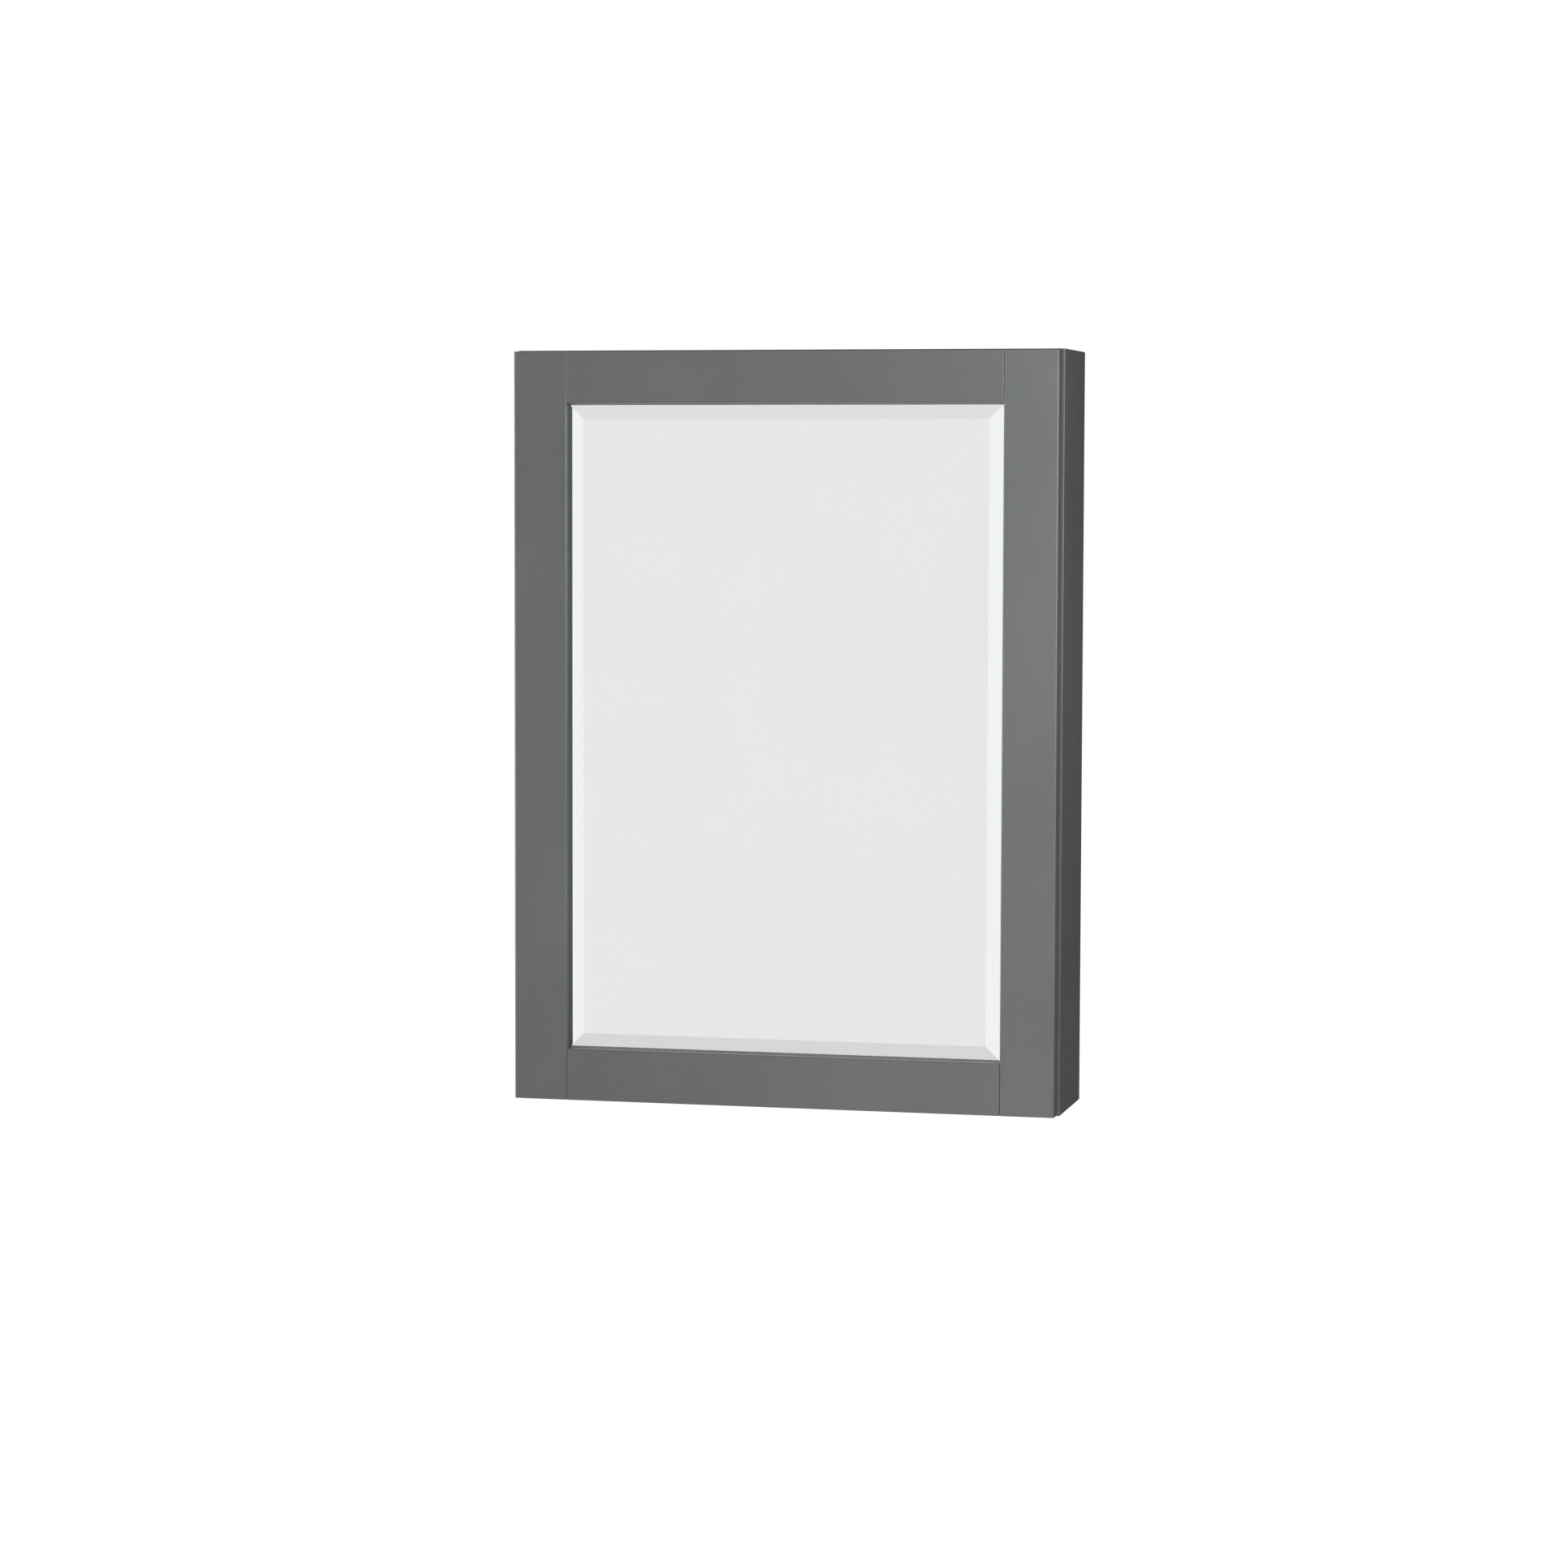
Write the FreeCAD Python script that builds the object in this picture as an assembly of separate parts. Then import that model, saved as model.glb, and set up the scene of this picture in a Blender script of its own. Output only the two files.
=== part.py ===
import FreeCAD, Part
import os
from math import cos, hypot, radians, sin, tan

# Hanging wall cabinet with one framed door that holds a bevelled mirror.
#
# Millimetres. +Z is up, +Y points into the wall, and the door faces -Y. The origin is the centre of
# the four wall-screw holes, on the plane of the wall. The door hangs on the left, on two concealed
# cup hinges of the single-pin kind, and opens from its right-hand edge.

# ---- driving dimensions: case ----
case_width = 610.0
case_height = 828.0
case_depth = 130.5
panel_thickness = 18.0
panel_round = 1.0
back_thickness = 6.0
back_groove_depth = 7.0
back_groove_clearance = 0.2
hanging_rail_height = 80.0
hanging_rail_thickness = 18.0
wall_hole_spacing = 406.4
wall_hole_radius = 2.75

# ---- driving dimensions: dowels ----
dowel_radius = 4.0
dowel_length = 34.0
dowel_depth_in_side = 12.0
dowel_clearance = 0.02
dowel_row_inset = 22.0

# ---- driving dimensions: shelves ----
shelf_thickness = 6.0
shelf_side_clearance = 2.0
shelf_front_setback = 10.0
shelf_back_clearance = 2.0
shelf_corner_radius = 3.0
shelf_arris = 0.6
hole_pitch = 32.0
holes_each_way = 2
pin_radius = 2.5
pin_depth = 9.0
pin_hole_depth = 11.0
pin_clearance = 0.05
pin_collar_radius = 4.0
pin_collar_length = 1.5
pin_arm_length = 10.0
pin_arm_width = 7.0
pin_arm_height = 3.0
pad_thickness = 1.0
pad_inset = 0.8
front_row_inset = 37.0
rear_row_inset = 20.0

# ---- driving dimensions: door ----
door_gap = 2.5
door_thickness = 22.0
side_reveal = 2.0
end_reveal = 1.5
stile_width = 60.0
rail_width = 57.0
outer_round = 2.0
inner_round = 2.0
end_round = 1.0
swing_round = 3.0
tenon_length = 12.0
tenon_thickness = 6.0
tenon_shoulder = 5.0
tenon_clearance = 0.1

# ---- driving dimensions: mirror ----
mirror_thickness = 5.0
bevel_width = 25.0
bevel_drop = 2.2
mirror_overlap = 8.0
mirror_edge_clearance = 1.0
mirror_seat_clearance = 0.04
lip_thickness = 10.0
bead_width = 12.0
bead_edge_clearance = 0.2
board_thickness = 3.0
board_overlap = 18.0
board_corner_radius = 4.0
board_cup_clearance = 1.0
board_screw_inset = 5.5
board_screw_spacing = 165.0
board_screw_radius = 1.4
board_screw_length = 12.0
board_screw_head_radius = 3.0
board_screw_head_height = 1.6

# ---- driving dimensions: bumpers ----
bumper_radius = 4.5
bumper_round = 1.0
bumper_end_inset = 24.0

# ---- driving dimensions: hinge ----
hinge_end_inset = 100.0
hinge_axis_inset = 8.0
hinge_axis_depth = 8.0
hinge_pin_radius = 1.5
hinge_pin_length = 20.6
hinge_pin_clearance = 0.03
cup_edge_distance = 3.0
cup_radius = 17.5
cup_depth = 12.5
cup_wall = 1.2
cup_bore_clearance = 0.05
cup_bore_extra_depth = 0.5
cup_flange_thickness = 1.2
cup_flange_radius = 19.5
cup_flange_edge_distance = 4.0
cup_ear_half_length = 29.0
cup_ear_width = 14.0
cup_screw_offset = 9.5
cup_screw_half_spacing = 22.5
neck_thickness = 2.7
neck_width = 10.0
neck_reach = 14.0
neck_slope = 4.0
neck_bend_radius = 4.0
eye_radius = 2.6
arm_width = 16.4
arm_sheet = 1.4
arm_web_height = 10.8
arm_flange_foot = 4.0
arm_front_inset = 1.0
arm_tail = 30.0
arm_round = 2.0
plate_base = 2.2
plate_wing_half_length = 25.0
plate_wing_width = 18.0
plate_spine_height = 8.6
plate_spine_width = 12.8
plate_spine_front = 14.0
plate_spine_rear = 26.0
plate_screw_half_spacing = 16.0
clamp_screw_offset = 16.0
clamp_screw_radius = 2.4
clamp_screw_clearance = 0.4
adjusting_screw_offset = -4.0
adjusting_screw_radius = 2.5
machine_head_radius = 3.9
machine_head_height = 2.0
thread_clearance = 0.05
wood_screw_radius = 1.75
wood_screw_length = 13.0
wood_screw_head_radius = 3.4
wood_screw_head_height = 1.5
wood_screw_point = 3.0
wood_screw_clearance = 0.03
recess_width = 0.8
recess_span = 3.2
recess_depth = 1.0
spring_wire_radius = 0.5
spring_half_width = 6.4
spring_leg = 13.0
spring_floor_clearance = 0.15

# ---- worked out from the driving dimensions ----
half_width = case_width / 2
half_height = case_height / 2
case_front = -case_depth
inner_half_width = half_width - panel_thickness
inner_half_height = half_height - panel_thickness
back_rear = -hanging_rail_thickness
back_front = back_rear - back_thickness

door_half_width = half_width - side_reveal
door_half_height = half_height - end_reveal
door_back = case_front - door_gap
door_front = door_back - door_thickness
opening_half_width = door_half_width - stile_width
opening_half_height = door_half_height - rail_width

visible_bevel = bevel_width - mirror_overlap
rabbet_width = mirror_overlap + mirror_edge_clearance
lip_back = door_front + lip_thickness
mirror_front = lip_back + mirror_seat_clearance - bevel_drop * visible_bevel / bevel_width
mirror_back = mirror_front + mirror_thickness

front_row = case_front + front_row_inset
rear_row = back_front - rear_row_inset
shelf_heights = {"upper": inner_half_height / 3, "lower": -inner_half_height / 3}
hinge_heights = {"upper": door_half_height - hinge_end_inset, "lower": hinge_end_inset - door_half_height}

axis_x = -door_half_width + hinge_axis_inset
axis_y = door_back - hinge_axis_depth
cup_x = -door_half_width + cup_edge_distance + cup_radius
cup_screw_x = cup_x + cup_screw_offset
plate_face = -inner_half_width


# ---- helpers ----
def vec(x, y, z):
    return FreeCAD.Vector(x, y, z)


def block(x0, x1, y0, y1, z0, z1):
    """A box between two planes on each axis."""
    return Part.makeBox(x1 - x0, y1 - y0, z1 - z0, vec(x0, y0, z0))


def rod(start, direction, radius, length):
    return Part.makeCylinder(radius, length, start, direction)


def group(solids):
    """Separate solids kept in one node."""
    return Part.makeCompound(solids)


def cut_all(shape, tools):
    return shape.cut(Part.makeCompound(tools)) if tools else shape


def edges_where(shape, test):
    """The edges whose middle point passes the test."""
    return [e for e in shape.Edges if test(e.valueAt((e.FirstParameter + e.LastParameter) / 2))]


def near(a, b):
    return abs(a - b) < 1e-4


def rounded_plate(cx, cy, half_x, half_y, radius):
    """A face in the XY plane: a rectangle with round corners."""
    corners = [(1, 1, 0), (-1, 1, 90), (-1, -1, 180), (1, -1, 270)]
    edges = []
    last = None
    first = None
    for sx, sy, start in corners:
        centre = vec(cx + sx * (half_x - radius), cy + sy * (half_y - radius), 0)
        points = []
        for angle in (start, start + 45, start + 90):
            a = radians(angle)
            points.append(centre + vec(radius * cos(a), radius * sin(a), 0))
        if last:
            edges.append(Part.LineSegment(last, points[0]).toShape())
        first = first or points[0]
        edges.append(Part.Arc(*points).toShape())
        last = points[2]
    edges.append(Part.LineSegment(last, first).toShape())
    return Part.Face(Part.Wire(edges))


def upright_plate(x, half_y, half_z, cy, cz, thickness, radius):
    """A plate that stands on the plane X = x and grows towards +X, with round corners."""
    face = rounded_plate(0, 0, half_y, half_z, radius)
    solid = face.extrude(vec(0, 0, thickness))
    turn = FreeCAD.Matrix(0, 0, 1, x, 1, 0, 0, cy, 0, 1, 0, cz, 0, 0, 0, 1)
    return solid.transformGeometry(turn)


def cross_recess(centre, axis):
    """The cutter for a cross recess. Centre is the top of the screw head and axis points out of it."""
    arms = []
    half = recess_width / 2
    reach = recess_span / 2
    for along in ((reach, half), (half, reach)):
        arm = block(-along[0], along[0], -along[1], along[1], -recess_depth, recess_depth)
        arms.append(arm)
    tool = arms[0].fuse(arms[1])
    tool.Placement = FreeCAD.Placement(centre, FreeCAD.Rotation(vec(0, 0, 1), axis))
    return tool


def screw(seat, axis, shank_radius, shank_length, head_radius, head_height, point=0.0):
    """A screw: its head rests on seat, its shank runs against axis, and point is its taper."""
    shank = rod(seat, axis * -1, shank_radius, shank_length - point)
    if point:
        tip = Part.makeCone(shank_radius, 0.3, point, seat - axis * (shank_length - point), axis * -1)
        shank = shank.fuse(tip)
    head = rod(seat, axis, head_radius, head_height)
    rim = edges_where(head, lambda p: near((p - seat).dot(axis), head_height))
    head = head.makeFillet(head_height * 0.45, rim)
    whole = head.fuse(shank).removeSplitter()
    return whole.cut(cross_recess(seat + axis * head_height, axis))


def screw_hole(seat, axis, shank_radius, shank_length):
    """The pilot hole that such a screw fills."""
    return rod(seat, axis * -1, shank_radius + wood_screw_clearance, shank_length + 1.0)


# ---- case: dowels ----
def dowel_places(height, ys):
    """Where dowels cross the joint between the side panels and a board that lies between them."""
    return [(side, y, height) for side in (-1, 1) for y in ys]


def panel_dowel_places():
    ys = [case_front + dowel_row_inset, (case_front + back_front) / 2, back_front - dowel_row_inset / 2]
    mid = inner_half_height + panel_thickness / 2
    return dowel_places(mid, ys) + dowel_places(-mid, ys)


def rail_dowel_places():
    reach = hanging_rail_height / 4
    y = -hanging_rail_thickness / 2
    places = []
    for sign in (-1, 1):
        middle = sign * (inner_half_height - hanging_rail_height / 2)
        for offset in (-reach, reach):
            places += dowel_places(middle + offset, [y])
    return places


def dowel(side, y, z, extra=0.0):
    """One dowel, or the hole for it when extra is its clearance."""
    outer_end = side * (inner_half_width + dowel_depth_in_side + extra)
    return rod(vec(outer_end, y, z), vec(-side, 0, 0), dowel_radius + extra, dowel_length + 2 * extra)


def case_dowels():
    return group([dowel(*place) for place in panel_dowel_places()])


def rail_dowels():
    return group([dowel(*place) for place in rail_dowel_places()])


def dowel_holes():
    return [dowel(*place, extra=dowel_clearance) for place in panel_dowel_places() + rail_dowel_places()]


# ---- case: panels ----
def back_groove():
    """The space that the back panel's edges need in the panels around it."""
    x = inner_half_width + back_groove_depth
    z = inner_half_height + back_groove_depth
    return block(-x, x, back_front - back_groove_clearance, back_rear + back_groove_clearance, -z, z)


def shelf_hole_places():
    """(y, z) of every shelf-support hole in a side panel."""
    steps = range(-holes_each_way, holes_each_way + 1)
    return [(y, z + step * hole_pitch) for z in shelf_heights.values() for step in steps
            for y in (front_row, rear_row)]


def shelf_holes(side):
    radius = pin_radius + pin_clearance
    outwards = vec(side, 0, 0)
    return [rod(vec(side * inner_half_width, y, z - support_drop()), outwards, radius, pin_hole_depth)
            for y, z in shelf_hole_places()]


def support_drop():
    """How far a support's pin lies under the shelf's underside."""
    return pad_thickness + pin_arm_height / 2


def side_panel(side):
    inner, outer = sorted((side * inner_half_width, side * half_width))
    panel = block(inner, outer, case_front, 0, -half_height, half_height)
    at_front = edges_where(panel, lambda p: near(p.y, case_front) or (
        near(abs(p.x), half_width) and near(abs(p.z), half_height)))
    panel = panel.makeFillet(panel_round, at_front)
    tools = [back_groove()] + dowel_holes() + shelf_holes(side)
    if side < 0:
        tools += [screw_hole(seat, axis, wood_screw_radius, wood_screw_length)
                  for seat, axis in plate_screw_seats()]
    return cut_all(panel, tools)


def end_panel(sign):
    """The top panel (sign 1) or the bottom panel (sign -1), between the side panels."""
    low, high = sorted((sign * inner_half_height, sign * half_height))
    panel = block(-inner_half_width, inner_half_width, case_front, 0, low, high)
    arrises = edges_where(panel, lambda p: near(p.y, case_front) and near(p.x, 0))
    panel = panel.makeFillet(panel_round, arrises)
    return cut_all(panel, [back_groove()] + dowel_holes())


def wall_holes():
    places = [(sx * wall_hole_spacing / 2, sz * wall_hole_height()) for sx in (-1, 1) for sz in (-1, 1)]
    length = hanging_rail_thickness + back_thickness + 2
    return [rod(vec(x, 1, z), vec(0, -1, 0), wall_hole_radius, length) for x, z in places]


def wall_hole_height():
    return inner_half_height - hanging_rail_height / 2


def back_panel():
    edge = back_groove_depth - back_groove_clearance
    x = inner_half_width + edge
    z = inner_half_height + edge
    return cut_all(block(-x, x, back_front, back_rear, -z, z), wall_holes())


def hanging_rail(sign):
    low, high = sorted((sign * inner_half_height, sign * (inner_half_height - hanging_rail_height)))
    rail = block(-inner_half_width, inner_half_width, -hanging_rail_thickness, 0, low, high)
    return cut_all(rail, wall_holes() + dowel_holes())


# ---- case: shelves ----
def shelf(height):
    """A glass shelf whose underside is at height, with eased front corners and arrises."""
    half_x = inner_half_width - shelf_side_clearance
    front = case_front + shelf_front_setback
    rear = back_front - shelf_back_clearance
    plate = block(-half_x, half_x, front, rear, height, height + shelf_thickness)
    corners = edges_where(plate, lambda p: near(p.y, front) and near(abs(p.x), half_x))
    plate = plate.makeFillet(shelf_corner_radius, corners)
    arris = edges_where(plate, lambda p: p.y < front + shelf_corner_radius and
                        (near(p.z, height) or near(p.z, height + shelf_thickness)))
    return plate.makeChamfer(shelf_arris, arris)


def support_places(height):
    return [(side, y, height - support_drop()) for side in (-1, 1) for y in (front_row, rear_row)]


def shelf_support(side, y, z):
    """A pin with a collar and a flat arm that the shelf lies on."""
    face = side * inner_half_width
    inward = vec(-side, 0, 0)
    pin = rod(vec(face + side * pin_depth, y, z), inward, pin_radius, pin_depth)
    collar = rod(vec(face, y, z), inward, pin_collar_radius, pin_collar_length)
    near_end, far_end = sorted((face, face - side * pin_arm_length))
    arm = block(near_end, far_end, y - pin_arm_width / 2, y + pin_arm_width / 2,
                z - pin_arm_height / 2, z + pin_arm_height / 2)
    tip = edges_where(arm, lambda p: near(p.x, face - side * pin_arm_length) and near(p.z, z))
    arm = arm.makeFillet(pin_arm_width * 0.3, tip)
    collar = collar.cut(block(-half_width, half_width, y - 9, y + 9, z + pin_arm_height / 2, z + 9))
    return pin.fuse([collar, arm]).removeSplitter()


def shelf_supports(height):
    return group([shelf_support(*place) for place in support_places(height)])


def shelf_pads(height):
    """Clear cushions between the supports and the glass."""
    pads = []
    for side, y, z in support_places(height):
        face = side * (inner_half_width - pin_collar_length)
        near_end, far_end = sorted((face, side * (inner_half_width - pin_arm_length + pad_inset)))
        half = pin_arm_width / 2 - pad_inset
        base = z + pin_arm_height / 2
        pads.append(block(near_end, far_end, y - half, y + half, base, base + pad_thickness))
    return group(pads)


# ---- door: frame ----
def mirror_pocket():
    """The rabbet behind the frame that the mirror lies in."""
    x = opening_half_width + rabbet_width
    z = opening_half_height + rabbet_width
    return block(-x, x, lip_back, door_back + 1, -z, z)


def tenon(side, sign, extra=0.0):
    """A rail's stub tenon, or the mortise for it when extra is its clearance."""
    middle = door_front + door_thickness / 2
    half = tenon_thickness / 2 + extra
    near_end, far_end = sorted((side * opening_half_width,
                                side * (opening_half_width + tenon_length + extra)))
    low, high = sorted((sign * (opening_half_height + rabbet_width + tenon_shoulder - extra),
                        sign * (door_half_height - tenon_shoulder + extra)))
    return block(near_end, far_end, middle - half, middle + half, low, high)


def stile(side):
    """An upright of the door frame. Its inner arris runs past the rails, so each joint shows as a groove."""
    inner = side * opening_half_width
    outer = side * door_half_width
    low, high = sorted((inner, outer))
    bar = block(low, high, door_front, door_back, -door_half_height, door_half_height)

    def uprights(x, y):
        return edges_where(bar, lambda p: near(p.x, x) and near(p.y, y) and near(p.z, 0))

    bar = bar.makeFillet(outer_round, uprights(outer, door_front))
    bar = bar.makeFillet(inner_round, uprights(inner, door_front))
    bar = bar.makeFillet(swing_round if side < 0 else outer_round, uprights(outer, door_back))
    ends = edges_where(bar, lambda p: near(abs(p.z), door_half_height) and near(p.y, door_front))
    bar = bar.makeFillet(end_round, ends)
    tools = [mirror_pocket()]
    tools += [tenon(side, sign, tenon_clearance) for sign in (-1, 1)]
    tools += board_screw_holes()
    if side < 0:
        tools += cup_bores()
        tools += [screw_hole(seat, axis, wood_screw_radius, wood_screw_length)
                  for seat, axis in cup_screw_seats()]
    return cut_all(bar, tools)


def rail(sign):
    """A cross-piece of the door frame, with eased arrises and a stub tenon at each end."""
    inner = sign * opening_half_height
    outer = sign * door_half_height
    low, high = sorted((inner, outer))
    bar = block(-opening_half_width, opening_half_width, door_front, door_back, low, high)

    def lengthways(y, z):
        return edges_where(bar, lambda p: near(p.z, z) and near(p.y, y) and near(p.x, 0))

    bar = bar.makeFillet(end_round, lengthways(door_front, outer))
    bar = bar.makeFillet(inner_round, lengthways(door_front, inner))
    bar = bar.makeFillet(end_round, edges_where(bar, lambda p: near(abs(p.x), opening_half_width) and
                                                near(p.y, door_front)))
    for side in (-1, 1):
        bar = bar.fuse(tenon(side, sign))
    return cut_all(bar.removeSplitter(), [mirror_pocket()] + board_screw_holes())


# ---- door: mirror and backing ----
def rectangle(half_x, y, half_z):
    corners = [(-1, -1), (1, -1), (1, 1), (-1, 1), (-1, -1)]
    return Part.makePolygon([vec(sx * half_x, y, sz * half_z) for sx, sz in corners])


def mirror():
    """A bevelled sheet whose slope meets the rear edge of the frame's lip all round."""
    half_x = opening_half_width + mirror_overlap
    half_z = opening_half_height + mirror_overlap
    edge_plane = mirror_front + bevel_drop
    base = block(-half_x, half_x, edge_plane, mirror_back, -half_z, half_z)
    outer = rectangle(half_x, edge_plane, half_z)
    inner = rectangle(half_x - bevel_width, mirror_front, half_z - bevel_width)
    slope = Part.makeLoft([outer, inner], True, True)
    return base.fuse(slope).removeSplitter()


def mirror_beads():
    """Four strips that fill the rabbet behind the mirror's edges and hold it against the frame's lip."""
    half_x = opening_half_width + rabbet_width - bead_edge_clearance
    half_z = opening_half_height + rabbet_width - bead_edge_clearance
    beads = []
    for side in (-1, 1):
        low, high = sorted((side * (half_x - bead_width), side * half_x))
        beads.append(block(low, high, mirror_back, door_back, -half_z, half_z))
        low, high = sorted((side * (half_z - bead_width), side * half_z))
        beads.append(block(bead_width - half_x, half_x - bead_width, mirror_back, door_back, low, high))
    return group(beads)


def board_half_sizes():
    return opening_half_width + board_overlap, opening_half_height + board_overlap


def cup_reliefs():
    """Space around the cup flanges, which notches the backing board where a narrow stile brings it near."""
    right = max(cup_x + cup_flange_radius, cup_screw_x + cup_ear_width / 2) + board_cup_clearance
    half = cup_ear_half_length + board_cup_clearance
    rear = door_back + board_thickness
    return [block(-door_half_width, right, door_back, rear, z - half, z + half)
            for z in hinge_heights.values()]


def backing_board():
    half_x, half_z = board_half_sizes()
    face = rounded_plate(0, 0, half_x, half_z, board_corner_radius)
    board = face.extrude(vec(0, 0, board_thickness))
    board.Placement = FreeCAD.Placement(vec(0, door_back + board_thickness, 0),
                                        FreeCAD.Rotation(vec(1, 0, 0), 90))
    return cut_all(board, board_screw_holes() + cup_reliefs())


def evenly(half_length, spacing):
    """Places from -half_length to half_length, about spacing apart."""
    count = max(1, round(2 * half_length / spacing))
    return [half_length * (2 * i / count - 1) for i in range(count + 1)]


def board_screw_seats():
    half_x, half_z = board_half_sizes()
    x_edge = half_x - board_screw_inset
    z_edge = half_z - board_screw_inset
    y = door_back + board_thickness
    uprights = [vec(side * x_edge, y, z) for side in (-1, 1) for z in evenly(z_edge, board_screw_spacing)]
    level = [vec(x, y, side * z_edge) for side in (-1, 1)
             for x in evenly(x_edge, board_screw_spacing)[1:-1]]
    return uprights + level


def board_screw_holes():
    return [screw_hole(seat, vec(0, 1, 0), board_screw_radius, board_screw_length)
            for seat in board_screw_seats()]


def backing_board_screws():
    return group([screw(seat, vec(0, 1, 0), board_screw_radius, board_screw_length,
                        board_screw_head_radius, board_screw_head_height, wood_screw_point)
                  for seat in board_screw_seats()])


def door_bumpers():
    """Soft stops on the opening stile, as thick as the gap, that land on the side panel's front edge."""
    x = inner_half_width + panel_thickness / 2
    bumpers = []
    for sign in (-1, 1):
        z = sign * (door_half_height - bumper_end_inset)
        disc = rod(vec(x, door_back, z), vec(0, 1, 0), bumper_radius, door_gap)
        rim = edges_where(disc, lambda p: near(p.y, door_back + door_gap))
        bumpers.append(disc.makeFillet(bumper_round, rim))
    return group(bumpers)


# ---- hinges: cup side, on the door ----
def cup_bores():
    depth = cup_depth + cup_bore_extra_depth
    return [rod(vec(cup_x, door_back, z), vec(0, -1, 0), cup_radius, depth) for z in hinge_heights.values()]


def cup_screw_seats():
    """Seat point and outward axis of each cup screw."""
    y = door_back + cup_flange_thickness
    return [(vec(cup_screw_x, y, z + sign * cup_screw_half_spacing), vec(0, 1, 0))
            for z in hinge_heights.values() for sign in (-1, 1)]


def hinge_cup(z):
    """The pressed cup with its flange and ears, bored for the pin."""
    centre = vec(cup_x, door_back, z)
    inward = vec(0, -1, 0)
    cup = rod(centre, inward, cup_radius - cup_bore_clearance, cup_depth)
    bottom = edges_where(cup, lambda p: near(p.y, door_back - cup_depth))
    cup = cup.makeFillet(cup_wall, bottom)
    flange = rod(centre, vec(0, 1, 0), cup_flange_radius, cup_flange_thickness)
    ears = rounded_plate(0, 0, cup_ear_width / 2, cup_ear_half_length, cup_ear_width / 2.2)
    ears = ears.extrude(vec(0, 0, cup_flange_thickness))
    ears.Placement = FreeCAD.Placement(vec(cup_screw_x, door_back + cup_flange_thickness, z),
                                       FreeCAD.Rotation(vec(1, 0, 0), 90))
    edge = -door_half_width + cup_flange_edge_distance
    beyond_edge = block(edge - cup_radius, edge, door_back, door_back + cup_depth, z - cup_ear_half_length,
                        z + cup_ear_half_length)
    body = cup.fuse([flange.fuse(ears).cut(beyond_edge)]).removeSplitter()
    hollow = rod(vec(cup_x, door_back + cup_flange_thickness, z), inward, cup_radius - cup_wall,
                 cup_depth - cup_wall + cup_flange_thickness)
    tools = [hollow, rod(vec(axis_x, axis_y, z - cup_radius), vec(0, 0, 1), hinge_pin_radius, 2 * cup_radius)]
    tools += [rod(seat + axis, axis * -1, wood_screw_radius + wood_screw_clearance, 2 * cup_depth)
              for seat, axis in cup_screw_seats()]
    return cut_all(body, tools)


def cup_screws():
    return group([screw(seat, axis, wood_screw_radius, wood_screw_length, wood_screw_head_radius,
                        wood_screw_head_height, wood_screw_point) for seat, axis in cup_screw_seats()])


def hinge_pins():
    return group([rod(vec(axis_x, axis_y, z - hinge_pin_length / 2), vec(0, 0, 1), hinge_pin_radius,
                      hinge_pin_length) for z in hinge_heights.values()])


def closing_spring(z):
    """A hairpin of wire on the cup's floor, one leg each side of the neck."""
    floor = door_back - cup_depth + cup_wall
    y = floor + spring_wire_radius + spring_floor_clearance
    start = axis_x + 2 * eye_radius
    end = start + spring_leg
    low = z - spring_half_width
    high = z + spring_half_width
    path = Part.Wire([
        Part.LineSegment(vec(start, y, low), vec(end, y, low)).toShape(),
        Part.Arc(vec(end, y, low), vec(end + spring_half_width, y, z), vec(end, y, high)).toShape(),
        Part.LineSegment(vec(end, y, high), vec(start, y, high)).toShape(),
    ])
    section = Part.Wire(Part.Circle(vec(start, y, low), vec(1, 0, 0), spring_wire_radius).toShape())
    return path.makePipeShell([section], True, False)


def closing_springs():
    return group([closing_spring(z) for z in hinge_heights.values()])


# ---- hinges: arm side, on the case ----
def plate_screw_seats():
    """Seat point and outward axis of each mounting-plate screw."""
    x = plate_face + plate_base
    return [(vec(x, front_row, z + sign * plate_screw_half_spacing), vec(1, 0, 0))
            for z in hinge_heights.values() for sign in (-1, 1)]


def hinge_plate(z):
    """A winged mounting plate with a spine that the arm slides over."""
    wing = upright_plate(plate_face, plate_wing_width / 2, plate_wing_half_length, front_row, z, plate_base,
                         plate_wing_width / 2.2)
    spine = block(plate_face, plate_face + plate_spine_height, front_row - plate_spine_front,
                  front_row + plate_spine_rear, z - plate_spine_width / 2, z + plate_spine_width / 2)
    ends = edges_where(spine, lambda p: near(p.x, plate_face + plate_spine_height))
    spine = spine.makeChamfer(panel_round, ends)
    thread = rod(vec(plate_face, front_row + clamp_screw_offset, z), vec(1, 0, 0),
                 clamp_screw_radius + thread_clearance, plate_spine_height + 1)
    tools = [rod(seat + axis, axis * -1, wood_screw_radius + wood_screw_clearance, 2 * wood_screw_length)
             for seat, axis in plate_screw_seats()]
    return cut_all(wing.fuse(spine).removeSplitter(), tools + [thread])


def plate_screws():
    return group([screw(seat, axis, wood_screw_radius, wood_screw_length, wood_screw_head_radius,
                        wood_screw_head_height, wood_screw_point) for seat, axis in plate_screw_seats()])


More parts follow.
